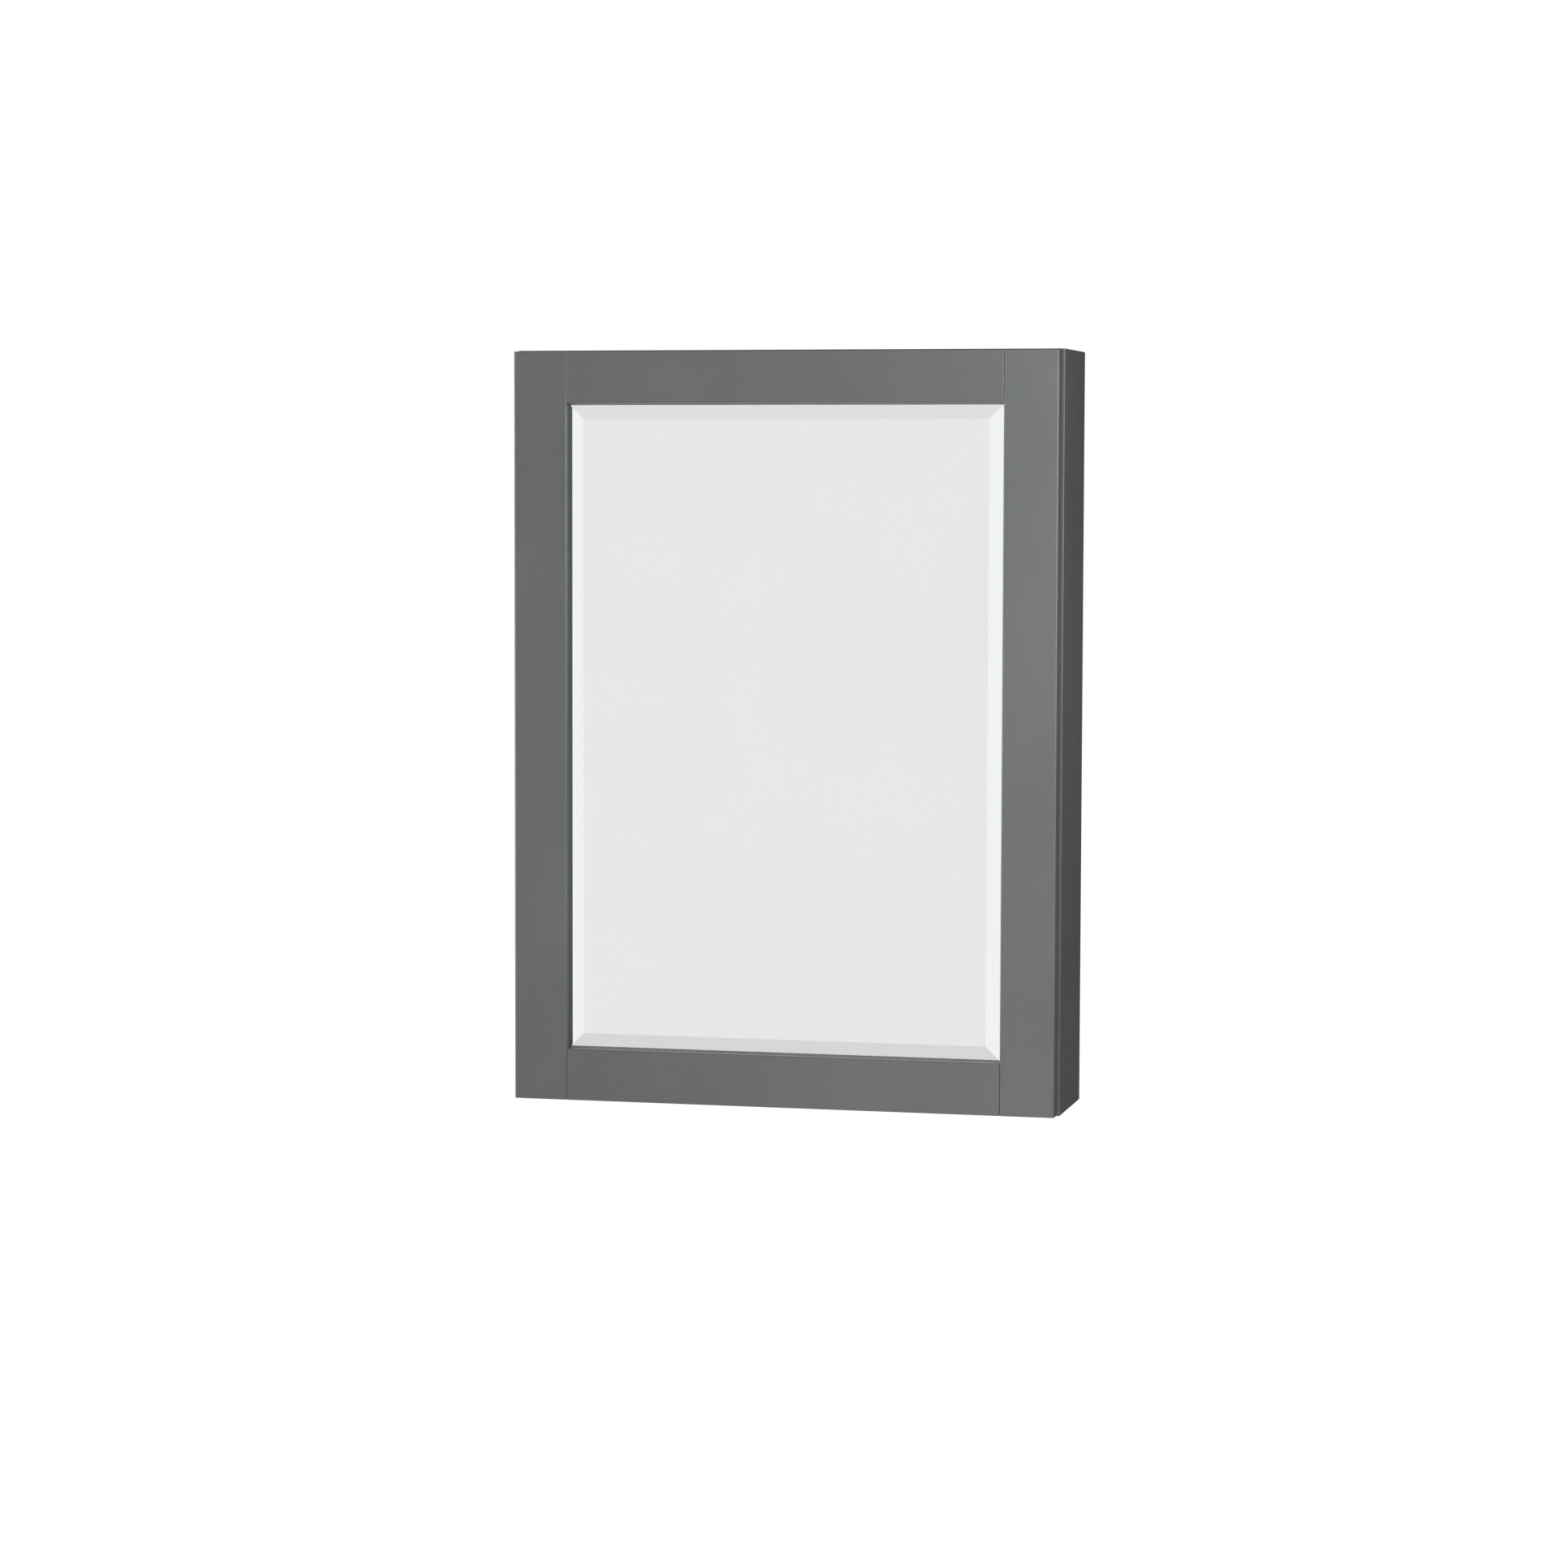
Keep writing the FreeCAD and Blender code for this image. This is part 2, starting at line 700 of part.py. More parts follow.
def bent_strip(points, bend_radius, thickness, low, high):
    """A strip of sheet on edge that follows points in the XY plane, with its bends rounded."""
    edges = []
    start = points[0]
    for before, corner, after in zip(points, points[1:], points[2:]):
        into = (corner - before).normalize()
        out = (after - corner).normalize()
        turn = into.getAngle(out)
        trim = bend_radius * tan(turn / 2)
        arc_start = corner - into * trim
        arc_end = corner + out * trim
        middle_way = (out - into).normalize()
        arc_middle = corner + middle_way * (hypot(bend_radius, trim) - bend_radius)
        edges.append(Part.LineSegment(start, arc_start).toShape())
        edges.append(Part.Arc(arc_start, arc_middle, arc_end).toShape())
        start = arc_end
    edges.append(Part.LineSegment(start, points[-1]).toShape())
    path = Part.Wire(edges)
    first = (points[1] - points[0]).normalize()
    across = vec(-first.y, first.x, 0) * (thickness / 2)
    corners = [points[0] + across, points[0] - across]
    places = [(corners[0], low), (corners[1], low), (corners[1], high), (corners[0], high), (corners[0], low)]
    section = Part.makePolygon([vec(corner.x, corner.y, z) for corner, z in places])
    return path.makePipeShell([section], True, False)


def hinge_arm(z):
    """The arm: an eye on the pin, a neck that curls out of the cup, and a channel over the plate."""
    web_outer = plate_face + arm_web_height
    web_inner = web_outer - arm_sheet
    channel_front = case_front + arm_front_inset
    channel_rear = front_row + arm_tail
    neck_x = axis_x + neck_reach
    web_middle = web_outer - neck_thickness / 2
    slope = tan(radians(neck_slope))
    points = [
        vec(axis_x, axis_y, 0),
        vec(neck_x, axis_y - neck_reach * slope, 0),
        vec(neck_x, channel_front, 0),
        vec(web_middle, channel_front + 2 * neck_bend_radius, 0),
        vec(web_middle, channel_front + 4 * neck_bend_radius, 0),
    ]
    low = z - neck_width / 2
    high = z + neck_width / 2
    neck = bent_strip(points, neck_bend_radius, neck_thickness, low, high)
    eye = rod(vec(axis_x, axis_y, low), vec(0, 0, 1), eye_radius, neck_width)
    web_start = channel_front + 2 * neck_bend_radius
    half = arm_width / 2
    web = block(web_inner, web_outer, web_start, channel_rear, z - half, z + half)
    flanges = [block(plate_face + arm_flange_foot, web_outer, web_start, channel_rear, a, a + arm_sheet)
               for a in (z - half, z + half - arm_sheet)]
    channel = web.fuse(flanges).removeSplitter()
    folds = edges_where(channel, lambda p: near(p.x, web_outer) and near(abs(p.z - z), half))
    channel = channel.makeFillet(arm_sheet * 0.9, folds)
    foot = edges_where(channel, lambda p: near(p.x, plate_face + arm_flange_foot) and
                       near(abs(p.z - z), half - arm_sheet / 2))
    channel = channel.makeFillet(arm_round, foot)
    arm = channel.fuse([neck, eye]).removeSplitter()
    clamp_y = front_row + clamp_screw_offset
    slot_radius = clamp_screw_radius + clamp_screw_clearance
    slot = [rod(vec(web_inner - 1, clamp_y + shift, z), vec(1, 0, 0), slot_radius, arm_sheet + 3)
            for shift in (-1.5, 0, 1.5)]
    adjust = rod(vec(web_inner - 1, front_row + adjusting_screw_offset, z), vec(1, 0, 0),
                 adjusting_screw_radius + thread_clearance, arm_sheet + 3)
    pin_hole = rod(vec(axis_x, axis_y, low - 1), vec(0, 0, 1), hinge_pin_radius + hinge_pin_clearance,
                   neck_width + 2)
    return cut_all(arm, slot + [adjust, pin_hole])


def clamp_screws():
    """The screw of each hinge that clamps the arm to the spine."""
    seat_x = plate_face + arm_web_height
    length = arm_web_height - plate_base
    seats = [vec(seat_x, front_row + clamp_screw_offset, z) for z in hinge_heights.values()]
    return group([screw(seat, vec(1, 0, 0), clamp_screw_radius, length, machine_head_radius,
                        machine_head_height) for seat in seats])


def adjusting_screws():
    """Headless screws through the arm whose tips stand on the spine."""
    screws = []
    tip = plate_face + plate_spine_height
    top = plate_face + arm_web_height + machine_head_height / 2
    for z in hinge_heights.values():
        y = front_row + adjusting_screw_offset
        body = rod(vec(tip, y, z), vec(1, 0, 0), adjusting_screw_radius, top - tip)
        recess = cross_recess(vec(top, y, z), vec(1, 0, 0))
        screws.append(body.cut(recess))
    return group(screws)


# ---- nodes ----
def build():
    nodes = {
        "side_panel_left": side_panel(-1),
        "side_panel_right": side_panel(1),
        "top_panel": end_panel(1),
        "bottom_panel": end_panel(-1),
        "back_panel": back_panel(),
        "hanging_rail_upper": hanging_rail(1),
        "hanging_rail_lower": hanging_rail(-1),
        "case_dowels": case_dowels(),
        "rail_dowels": rail_dowels(),
        "hinge_plate_screws": plate_screws(),
        "hinge_clamp_screws": clamp_screws(),
        "hinge_adjusting_screws": adjusting_screws(),
        "door_stile_hinge_side": stile(-1),
        "door_stile_opening_side": stile(1),
        "door_rail_top": rail(1),
        "door_rail_bottom": rail(-1),
        "mirror": mirror(),
        "mirror_beads": mirror_beads(),
        "mirror_backing_board": backing_board(),
        "backing_board_screws": backing_board_screws(),
        "door_bumpers": door_bumpers(),
        "hinge_cup_screws": cup_screws(),
        "hinge_pins": hinge_pins(),
        "hinge_closing_springs": closing_springs(),
    }
    for place, height in shelf_heights.items():
        nodes[f"glass_shelf_{place}"] = shelf(height)
        nodes[f"shelf_supports_{place}"] = shelf_supports(height)
        nodes[f"shelf_pads_{place}"] = shelf_pads(height)
    for place, height in hinge_heights.items():
        nodes[f"hinge_plate_{place}"] = hinge_plate(height)
        nodes[f"hinge_arm_{place}"] = hinge_arm(height)
        nodes[f"hinge_cup_{place}"] = hinge_cup(height)
    return nodes


os.makedirs("parts", exist_ok=True)
for name, shape in build().items():
    shape.exportStep(f"parts/{name}.step")
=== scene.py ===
from math import cos, radians, sin

import bpy
from mathutils import Matrix, Vector


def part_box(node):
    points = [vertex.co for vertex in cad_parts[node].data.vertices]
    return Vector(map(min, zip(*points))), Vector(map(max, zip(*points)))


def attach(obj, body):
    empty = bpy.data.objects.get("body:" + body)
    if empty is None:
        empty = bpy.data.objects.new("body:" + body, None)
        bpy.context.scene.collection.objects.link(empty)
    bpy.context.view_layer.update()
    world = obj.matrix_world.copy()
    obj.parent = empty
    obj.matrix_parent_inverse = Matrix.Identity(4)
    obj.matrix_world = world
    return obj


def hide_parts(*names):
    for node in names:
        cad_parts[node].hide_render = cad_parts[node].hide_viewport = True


# Looks for the hanging wall cabinet. Every CAD node stays as the frame has it and gets a material.
# Only the mirror is replaced, by a plate whose bevel lines are crisp.
# Lengths are in metres and colours are linear. The scale of a noise is in cells per metre.

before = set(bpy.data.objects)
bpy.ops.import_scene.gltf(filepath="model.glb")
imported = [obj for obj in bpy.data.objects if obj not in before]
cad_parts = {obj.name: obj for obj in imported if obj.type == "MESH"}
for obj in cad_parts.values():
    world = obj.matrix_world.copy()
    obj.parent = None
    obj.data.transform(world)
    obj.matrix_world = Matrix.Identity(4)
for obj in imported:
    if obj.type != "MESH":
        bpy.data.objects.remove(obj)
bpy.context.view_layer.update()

# ---- camera: angles in degrees, lens and sensor in millimetres ----
camera_place = (1.0638, -4.6197, 0.2711)
camera_yaw = 13.365
camera_pitch = 4.091
camera_roll = 0.16
camera_lens = 97.1
camera_sensor = 36.0
camera_reach = 200.0

# ---- studio: the mirror shows the camera what lies mirrored_azimuth degrees off straight ahead ----
floor_height = -3.2
floor_size = 12.0
floor_glow = 0.6
background_strength = 1.05
mirrored_azimuth = 13.4

# ---- places: points closer together than same_place count as one ----
x_axis, y_axis, z_axis = range(3)
same_place = 0.00001
bare_face_depth = 0.0003

# ---- lacquer ----
paint_gloss = 0.4
paint_roughness = (0.36, 0.44)
paint_grain_tone = (0.965, 1.035)
dry_spray_gloss = 0.04
dry_spray_roughness = 0.85
door_grain_depth = 0.000012
panel_grain_depth = 0.000008
peel_depth = 0.000010
dust_depth = 0.000003

# ---- other surfaces ----
pine_rings = 14.0
beech_rings = 9.0
pine_roughness = 0.62
beech_roughness = 0.6
pore_depth = 0.00008
fibreboard_fibres = 600.0
fibreboard_roughness = 0.7
hardboard_fibres = 520.0
hardboard_flecks = 182.0
hardboard_roughness = 0.42
fibre_depth = 0.00006
plate_roughness = 0.33
wire_roughness = 0.2
rolling_roughness = (-0.05, 0.06)
rolling_depth = 0.000012
bevel_roughness = (0.004, 0.012)
glass_ior = 1.52
glass_edge_roughness = 0.12
glass_smudge_roughness = (0.0, 0.03)
vinyl_ior = 1.48
vinyl_clearness = 0.7
vinyl_roughness = (0.22, 0.34)
vinyl_skin_depth = 0.00002

# ---- spans: most of a noise's values lie within usual_noise ----
whole = (0.0, 1.0)
usual_noise = (0.3, 0.7)

# ---- colours ----
white = (1.0, 1.0, 1.0, 1.0)
floor_light = (0.9, 0.9, 0.9, 1.0)
floor_dark = (0.86, 0.86, 0.86, 1.0)
paint_colour = (0.067, 0.0720, 0.0700, 1.0)
paint_light = (0.075, 0.0795, 0.0775, 1.0)
board_colour = (0.205, 0.125, 0.072, 1.0)
board_dark = (0.115, 0.066, 0.036, 1.0)
pine_colour = (0.62, 0.45, 0.26, 1.0)
pine_dark = (0.42, 0.27, 0.13, 1.0)
beech_colour = (0.60, 0.42, 0.26, 1.0)
beech_dark = (0.44, 0.28, 0.15, 1.0)
mdf_colour = (0.43, 0.32, 0.215, 1.0)
mdf_dark = (0.33, 0.235, 0.15, 1.0)
silver_colour = (0.828, 0.833, 0.830, 1.0)
silver_dark = (0.823, 0.828, 0.825, 1.0)
bevel_colour = (0.82, 0.845, 0.83, 1.0)
glass_colour = (0.93, 0.975, 0.955, 1.0)
glass_edge_colour = (0.22, 0.52, 0.40, 1.0)
nickel_colour = (0.70, 0.68, 0.645, 1.0)
nickel_dark = (0.58, 0.565, 0.53, 1.0)
vinyl_colour = (0.86, 0.88, 0.86, 1.0)

# Sockets of a Mix node set to colours: their names also stand for its sockets of other kinds.
mix_factor, mix_first, mix_second = 0, 6, 7
mix_result = 2


# ---- node helpers ----
def feed(tree, node, inputs):
    """Sets each input to a value, or links it to the socket that feeds it."""
    for name, value in inputs.items():
        if isinstance(value, bpy.types.NodeSocket):
            tree.links.new(value, node.inputs[name])
        else:
            node.inputs[name].default_value = value


def add(tree, kind, inputs, **settings):
    """A new node with its settings and inputs."""
    node = tree.nodes.new(kind)
    for name, value in settings.items():
        setattr(node, name, value)
    feed(tree, node, inputs)
    return node


def maths(tree, operation, first, second=0.0):
    return add(tree, "ShaderNodeMath", {0: first, 1: second}, operation=operation).outputs[0]


def remap(tree, value, span, to):
    """value, taken from one span of numbers to another, with eased ends."""
    limits = {"Value": value, "From Min": span[0], "From Max": span[1], "To Min": to[0], "To Max": to[1]}
    return add(tree, "ShaderNodeMapRange", limits, interpolation_type="SMOOTHSTEP").outputs["Result"]


def raised(tree, value, where, least):
    """value, but no less than least where the mask is 1."""
    return maths(tree, "MAXIMUM", value, maths(tree, "MULTIPLY", where, least))


def blend(tree, factor, first, second):
    """The mix of two colours."""
    inputs = {mix_factor: factor, mix_first: first, mix_second: second}
    return add(tree, "ShaderNodeMix", inputs, data_type="RGBA").outputs[mix_result]


def place(tree, stretch=(1.0, 1.0, 1.0)):
    """The point on the piece, in the row frame at rest, stretched along each axis."""
    coordinates = add(tree, "ShaderNodeTexCoord", {})
    inputs = {"Vector": coordinates.outputs["Object"], "Scale": stretch}
    return add(tree, "ShaderNodeMapping", inputs).outputs[0]


def grained(tree, axis, squeeze):
    """The point on the piece, squeezed along one axis, which draws a noise out into a grain."""
    stretch = [1.0, 1.0, 1.0]
    stretch[axis] = squeeze
    return place(tree, stretch)


def distance_along(tree, axis):
    """How far along one axis the point on the piece is."""
    return add(tree, "ShaderNodeSeparateXYZ", {0: place(tree)}).outputs[axis]


def noise(tree, vector, scale, octaves=2.0, roughness=0.5, distortion=0.0):
    inputs = {"Vector": vector, "Scale": scale, "Detail": octaves, "Roughness": roughness,
              "Distortion": distortion}
    return add(tree, "ShaderNodeTexNoise", inputs).outputs["Fac"]


def fibres(tree, scale):
    """The mottle of pressed wood fibres."""
    return noise(tree, place(tree), scale, octaves=5.0, roughness=0.7, distortion=1.2)


def bump(tree, height, depth, under=None):
    """A relief of that depth, on top of another relief if there is one."""
    inputs = {"Height": height, "Strength": 1.0, "Distance": depth}
    if under:
        inputs["Normal"] = under
    return add(tree, "ShaderNodeBump", inputs).outputs[0]


def surface(name, inputs_of):
    """A material whose Principled shader takes the inputs that inputs_of(tree) returns."""
    material = bpy.data.materials.new(name)
    material.use_nodes = True
    tree = material.node_tree
    feed(tree, tree.nodes["Principled BSDF"], inputs_of(tree))
    return material


# ---- materials ----
def paint_inputs(tree, grain_axis, grain_depth):
    """Satin dark grey lacquer: clouded a little, with a faint grain, orange peel and dust."""
    cloud = noise(tree, place(tree), scale=5.0, octaves=3.0)
    grain = noise(tree, grained(tree, grain_axis, squeeze=0.02), scale=700.0, octaves=4.0, roughness=0.6)
    peel = noise(tree, place(tree), scale=420.0)
    dust = noise(tree, place(tree), scale=2600.0, octaves=1.0)
    smear = noise(tree, place(tree), scale=14.0, octaves=4.0, roughness=0.6)
    colour = blend(tree, remap(tree, cloud, usual_noise, whole), paint_colour, paint_light)
    shade = remap(tree, grain, span=(0.2, 0.8), to=paint_grain_tone)
    tint = add(tree, "ShaderNodeVectorMath", {0: colour, "Scale": shade}, operation="SCALE")
    relief = bump(tree, grain, grain_depth)
    relief = bump(tree, peel, peel_depth, relief)
    relief = bump(tree, dust, dust_depth, relief)
    return {"Base Color": tint.outputs[0], "Roughness": remap(tree, smear, usual_noise, paint_roughness),
            "Specular IOR Level": paint_gloss, "Normal": relief}


def lacquer(name, grain_axis, grain_depth):
    return surface(name, lambda tree: paint_inputs(tree, grain_axis, grain_depth))


def stile_lacquer(name, inner_face):
    """Lacquer that stays dull on the walls of the mirror's recess, where the spray lands dry."""
    def inputs_of(tree):
        inputs = paint_inputs(tree, z_axis, door_grain_depth)
        sideways = maths(tree, "ABSOLUTE", distance_along(tree, x_axis))
        in_recess = maths(tree, "LESS_THAN", sideways, inner_face + same_place)
        inputs["Roughness"] = raised(tree, inputs["Roughness"], in_recess, dry_spray_roughness)
        inputs["Specular IOR Level"] = remap(tree, in_recess, whole, (paint_gloss, dry_spray_gloss))
        return inputs
    return surface(name, inputs_of)


def one_side_lacquer(name, node):
    """Fibreboard that is lacquered all over except its rear face."""
    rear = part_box(node)[1][y_axis]

    def inputs_of(tree):
        inputs = paint_inputs(tree, z_axis, panel_grain_depth)
        is_bare = maths(tree, "GREATER_THAN", distance_along(tree, y_axis), rear - bare_face_depth)
        mottle = remap(tree, fibres(tree, fibreboard_fibres), usual_noise, whole)
        bare = blend(tree, mottle, mdf_colour, mdf_dark)
        inputs["Base Color"] = blend(tree, is_bare, inputs["Base Color"], bare)
        inputs["Roughness"] = raised(tree, inputs["Roughness"], is_bare, fibreboard_roughness)
        return inputs
    return surface(name, inputs_of)


def wood(name, light, dark, grain_axis, rings, roughness):
    """Bare wood: growth bands that run along one axis, with streaks and fine pores."""
    def inputs_of(tree):
        wander = noise(tree, grained(tree, grain_axis, squeeze=0.04), scale=16.0, roughness=0.4)
        crest = 0.5
        bands = maths(tree, "PINGPONG", maths(tree, "MULTIPLY", wander, rings), crest)
        long_grain = grained(tree, grain_axis, squeeze=0.012)
        short_grain = grained(tree, grain_axis, squeeze=0.03)
        streaks = noise(tree, long_grain, scale=260.0, octaves=3.0, roughness=0.6)
        pores = noise(tree, short_grain, scale=1400.0, octaves=3.0, roughness=0.6)
        colour = blend(tree, remap(tree, bands, span=(0.1, crest), to=(0.0, 0.45)), light, dark)
        colour = blend(tree, remap(tree, streaks, span=(0.45, 0.75), to=(0.0, 0.35)), colour, dark)
        colour = blend(tree, remap(tree, pores, span=(0.5, 0.75), to=(0.0, 0.45)), colour, dark)
        return {"Base Color": colour, "Roughness": roughness, "Normal": bump(tree, pores, pore_depth)}
    return surface(name, inputs_of)


def hardboard():
    """Pressed board: a mat of short fibres with darker flecks."""
    def inputs_of(tree):
        mat = fibres(tree, hardboard_fibres)
        flecks = noise(tree, place(tree), hardboard_flecks, octaves=4.0, roughness=0.8, distortion=2.0)
        colour = blend(tree, remap(tree, mat, usual_noise, whole), board_colour, board_dark)
        colour = blend(tree, remap(tree, flecks, span=(0.60, 0.72), to=(0.0, 0.6)), colour, board_dark)
        relief = bump(tree, mat, fibre_depth)
        return {"Base Color": colour, "Roughness": hardboard_roughness, "Normal": relief}
    return surface("hardboard", inputs_of)


def silvered_glass(field_x, field_z):
    """The mirror: faintly clouded silver, a little greener beyond its flat field, where it is bevelled."""
    def inputs_of(tree):
        beyond_x = maths(tree, "SUBTRACT", maths(tree, "ABSOLUTE", distance_along(tree, x_axis)), field_x)
        beyond_z = maths(tree, "SUBTRACT", maths(tree, "ABSOLUTE", distance_along(tree, z_axis)), field_z)
        on_bevel = maths(tree, "GREATER_THAN", maths(tree, "MAXIMUM", beyond_x, beyond_z), 0.0)
        cloud = noise(tree, place(tree), scale=7.0, octaves=3.0)
        colour = blend(tree, remap(tree, cloud, (0.35, 0.65), whole), silver_colour, silver_dark)
        colour = blend(tree, on_bevel, colour, bevel_colour)
        polish = remap(tree, noise(tree, place(tree), scale=300.0), usual_noise, bevel_roughness)
        rough = maths(tree, "MULTIPLY", on_bevel, polish)
        return {"Base Color": colour, "Metallic": 1.0, "Roughness": rough}
    return surface("silvered_glass", inputs_of)


def shelf_glass():
    """Clear float glass with a few smudges, green and ground dull at its edges."""
    def inputs_of(tree):
        normal = add(tree, "ShaderNodeNewGeometry", {}).outputs["Normal"]
        upright = add(tree, "ShaderNodeSeparateXYZ", {0: normal}).outputs[z_axis]
        on_edge = remap(tree, maths(tree, "ABSOLUTE", upright), span=(0.75, 0.95), to=(1.0, 0.0))
        smudge = noise(tree, place(tree), scale=22.0, octaves=4.0, roughness=0.6)
        colour = blend(tree, on_edge, glass_colour, glass_edge_colour)
        handled = remap(tree, smudge, span=(0.45, 0.75), to=glass_smudge_roughness)
        ground = maths(tree, "MULTIPLY", on_edge, glass_edge_roughness)
        return {"Base Color": colour, "Roughness": maths(tree, "ADD", handled, ground),
                "Transmission Weight": 1.0, "IOR": glass_ior}
    return surface("shelf_glass", inputs_of)


def nickel(name, roughness):
    """Nickel plate over pressed steel, clouded, with rolling marks."""
    def inputs_of(tree):
        marks = noise(tree, grained(tree, y_axis, squeeze=0.05), scale=2200.0, octaves=3.0, roughness=0.6)
        clouds = noise(tree, place(tree), scale=160.0, octaves=3.0)
        colour = blend(tree, clouds, nickel_colour, nickel_dark)
        rough = maths(tree, "ADD", remap(tree, marks, usual_noise, rolling_roughness), roughness)
        relief = bump(tree, marks, rolling_depth)
        return {"Base Color": colour, "Metallic": 1.0, "Roughness": rough, "Normal": relief}
    return surface(name, inputs_of)


def clear_vinyl():
    """Soft clear plastic with a dull moulded skin."""
    def inputs_of(tree):
        skin = noise(tree, place(tree), scale=900.0)
        rough = remap(tree, skin, usual_noise, vinyl_roughness)
        return {"Base Color": vinyl_colour, "Roughness": rough, "Transmission Weight": vinyl_clearness,
                "IOR": vinyl_ior, "Normal": bump(tree, skin, vinyl_skin_depth)}
    return surface("clear_vinyl", inputs_of)


def floor_white():
    """A pale floor that glows a little, to stay about as light as the background."""
    def inputs_of(tree):
        speck = noise(tree, place(tree), scale=3.0, octaves=3.0)
        return {"Base Color": blend(tree, speck, floor_dark, floor_light), "Roughness": 0.9,
                "Emission Color": white, "Emission Strength": floor_glow}
    return surface("floor_white", inputs_of)


# ---- pieces ----
def new_object(name, data):
    made = bpy.data.objects.new(name, data)
    bpy.context.collection.objects.link(made)
    return made


def ring(low, high, inset, y):
    """Four corners of an upright rectangle at depth y, that far inside the box."""
    x0, x1 = low.x + inset, high.x - inset
    z0, z1 = low.z + inset, high.z - inset
    return [(x0, y, z0), (x1, y, z0), (x1, y, z1), (x0, y, z1)]


def make_mirror():
    """The silvered plate, crisp along the lines where its polished bevel meets the flat field."""
    low, high = (Vector(corner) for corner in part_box("mirror"))
    points = [vertex.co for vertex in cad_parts["mirror"].data.vertices]
    field_x = max(point.x for point in points if abs(point.y - low.y) < same_place)
    bevel_drop = min(point.y for point in points if abs(point.x - high.x) < same_place) - low.y
    bevel_width = high.x - field_x
    rear = ring(low, high, 0.0, high.y)
    front_edge = ring(low, high, 0.0, low.y + bevel_drop)
    field = ring(low, high, bevel_width, low.y)
    count = len(rear)
    faces = [tuple(reversed(range(count))), tuple(range(2 * count, 3 * count))]
    for start in (0, count):
        for i in range(count):
            j = (i + 1) % count
            faces.append((start + i, start + j, start + count + j, start + count + i))
    mesh = bpy.data.meshes.new("mirror_plate")
    mesh.from_pydata(rear + front_edge + field, [], faces)
    mesh.materials.append(silvered_glass(field_x, high.z - bevel_width))
    plate = new_object("mirror_plate", mesh)
    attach(plate, "door")
    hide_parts("mirror")


def dress(material, *names):
    """Gives a material to CAD nodes."""
    for name in names:
        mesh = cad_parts[name].data
        mesh.materials.clear()
        mesh.materials.append(material)


def upper_and_lower(*names):
    return [f"{name}_{end}" for name in names for end in ("upper", "lower")]


def dress_lacquered():
    """The grain runs along each piece, under the lacquer."""
    inner_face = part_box("door_stile_opening_side")[0][x_axis]
    dress(stile_lacquer("lacquer_stiles", inner_face), "door_stile_hinge_side", "door_stile_opening_side")
    dress(lacquer("lacquer_rails", x_axis, door_grain_depth), "door_rail_top", "door_rail_bottom")
    dress(lacquer("lacquer_side_panels", z_axis, panel_grain_depth), "side_panel_left", "side_panel_right")
    dress(lacquer("lacquer_level_panels", x_axis, panel_grain_depth), "top_panel", "bottom_panel")
    dress(one_side_lacquer("lacquer_back_panel", "back_panel"), "back_panel")


def dress_bare():
    pine_rail = wood("pine_rail", pine_colour, pine_dark, x_axis, pine_rings, pine_roughness)
    pine_bead = wood("pine_bead", pine_colour, pine_dark, z_axis, pine_rings, pine_roughness)
    beech = wood("beech_dowel", beech_colour, beech_dark, x_axis, beech_rings, beech_roughness)
    dress(pine_rail, *upper_and_lower("hanging_rail"))
    dress(pine_bead, "mirror_beads")
    dress(beech, "case_dowels", "rail_dowels")
    dress(hardboard(), "mirror_backing_board")


def dress_fittings():
    plate = nickel("nickel_plate", plate_roughness)
    dress(plate, *upper_and_lower("hinge_plate", "hinge_arm", "hinge_cup", "shelf_supports"))
    dress(plate, "hinge_plate_screws", "hinge_clamp_screws", "hinge_adjusting_screws", "hinge_cup_screws",
          "backing_board_screws")
    dress(nickel("spring_steel", wire_roughness), "hinge_pins", "hinge_closing_springs")
    dress(shelf_glass(), *upper_and_lower("glass_shelf"))
    dress(clear_vinyl(), "door_bumpers", *upper_and_lower("shelf_pads"))


# ---- studio ----
def make_camera():
    data = bpy.data.cameras.new("camera")
    data.sensor_width = camera_sensor
    data.lens = camera_lens
    data.clip_end = camera_reach
    camera = new_object("camera", data)
    turn = (Matrix.Rotation(radians(camera_yaw), 4, "Z") @
            Matrix.Rotation(radians(90.0 - camera_pitch), 4, "X") @
            Matrix.Rotation(radians(camera_roll), 4, "Z"))
    camera.matrix_world = Matrix.Translation(camera_place) @ turn
    bpy.context.scene.camera = camera


def make_floor():
    half = floor_size / 2
    corners = [(-half, -half, floor_height), (half, -half, floor_height), (half, half, floor_height),
               (-half, half, floor_height)]
    mesh = bpy.data.meshes.new("floor")
    mesh.from_pydata(corners, [], [(0, 1, 2, 3)])
    mesh.materials.append(floor_white())
    new_object("floor", mesh)


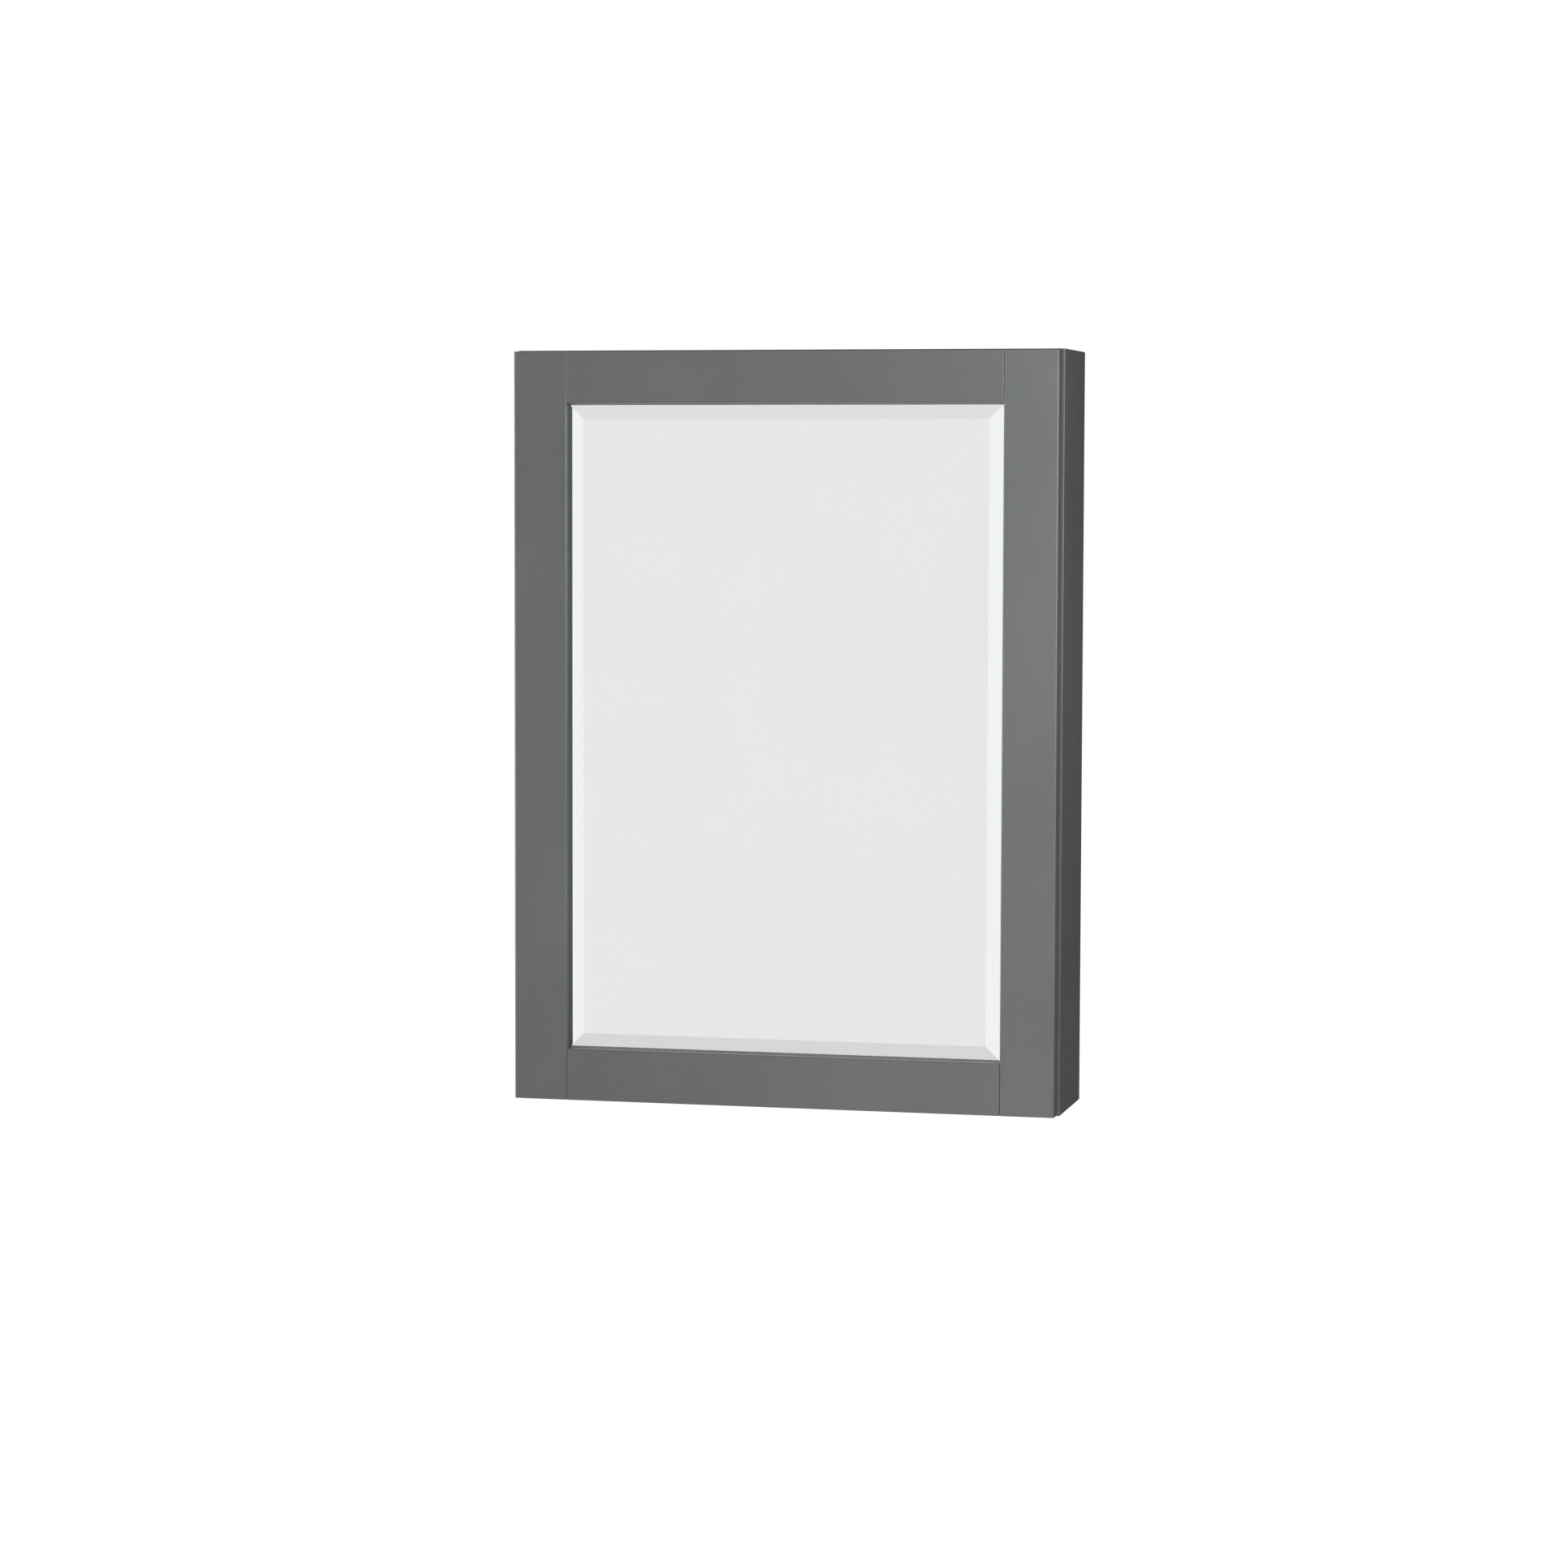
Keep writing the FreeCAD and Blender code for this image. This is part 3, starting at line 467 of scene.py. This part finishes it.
def glow_strength(tree):
    """Bright in front and dim behind. A little dimmer high up, low down, and where the mirror looks."""
    direction = add(tree, "ShaderNodeTexCoord", {}).outputs["Generated"]
    axes = add(tree, "ShaderNodeSeparateXYZ", {0: direction})
    height = axes.outputs[z_axis]
    ahead = maths(tree, "MULTIPLY", axes.outputs[y_axis], -1.0)
    turn = radians(mirrored_azimuth)
    across = {0: direction, 1: (cos(turn), -sin(turn), 0.0)}
    sideways = add(tree, "ShaderNodeVectorMath", across, operation="DOT_PRODUCT").outputs["Value"]
    front = remap(tree, ahead, span=(0.0, 0.90), to=(0.085, 1.0))
    above = remap(tree, height, span=(0.03, 0.16), to=(1.0, 0.92))
    below = remap(tree, height, span=(-0.28, -0.12), to=(0.84, 1.0))
    wings = remap(tree, maths(tree, "ABSOLUTE", sideways), span=(0.06, 0.18), to=(0.965, 1.06))
    strength = front
    for factor in (above, below, wings):
        strength = maths(tree, "MULTIPLY", strength, factor)
    return strength


def make_world():
    """Plain white to the camera, and a soft glow to everything that it lights."""
    world = bpy.data.worlds.new("studio")
    bpy.context.scene.world = world
    world.use_nodes = True
    tree = world.node_tree
    tree.nodes.clear()
    glow = add(tree, "ShaderNodeBackground", {"Color": white, "Strength": glow_strength(tree)})
    plain = add(tree, "ShaderNodeBackground", {"Color": white, "Strength": background_strength})
    seen = add(tree, "ShaderNodeLightPath", {}).outputs["Is Camera Ray"]
    mix = add(tree, "ShaderNodeMixShader", {0: seen, 1: glow.outputs[0], 2: plain.outputs[0]})
    add(tree, "ShaderNodeOutputWorld", {"Surface": mix.outputs[0]})


def make_light(name, stands, aim, width, height, watts, lights=True, gleams=True):
    """A panel of light that faces a point. It may light colours, gleam in shiny surfaces, or both."""
    data = bpy.data.lights.new(name, "AREA")
    data.shape = "RECTANGLE"
    data.size = width
    data.size_y = height
    data.energy = watts
    light = new_object(name, data)
    light.visible_camera = False
    light.visible_diffuse = lights
    light.visible_glossy = gleams
    light.location = stands
    light.rotation_euler = (Vector(aim) - Vector(stands)).to_track_quat("-Z", "Y").to_euler()


def make_lights():
    make_light("key", stands=(0.80, -1.02, 0.42), aim=(0.3, -0.1, 0.0), width=0.5, height=0.9, watts=15.5)
    make_light("low_fill", stands=(0.1, -1.3, -0.9), aim=(0.1, -0.1, -0.3), width=0.6, height=0.6,
               watts=6.0, gleams=False)
    make_light("right_strip", stands=(2.2, -0.75, 0.5), aim=(0.3, -0.1, 0.1), width=0.15, height=1.2,
               watts=14.0, lights=False)
    make_light("left_strip", stands=(-2.0, -1.2, 0.15), aim=(-0.2, -0.1, 0.0), width=0.15, height=1.2,
               watts=55.0, lights=False)
    make_light("left_fill", stands=(-2.6, -0.2, 0.8), aim=(-0.3, 0.0, 0.0), width=1.2, height=1.6,
               watts=25.0, gleams=False)
    make_light("back_fill", stands=(-1.8, 2.6, 1.6), aim=(0.0, 0.0, 0.0), width=2.0, height=2.0,
               watts=60.0, gleams=False)


bpy.context.scene.view_settings.view_transform = "Standard"
make_camera()
make_floor()
make_world()
make_lights()
make_mirror()
dress_lacquered()
dress_bare()
dress_fittings()
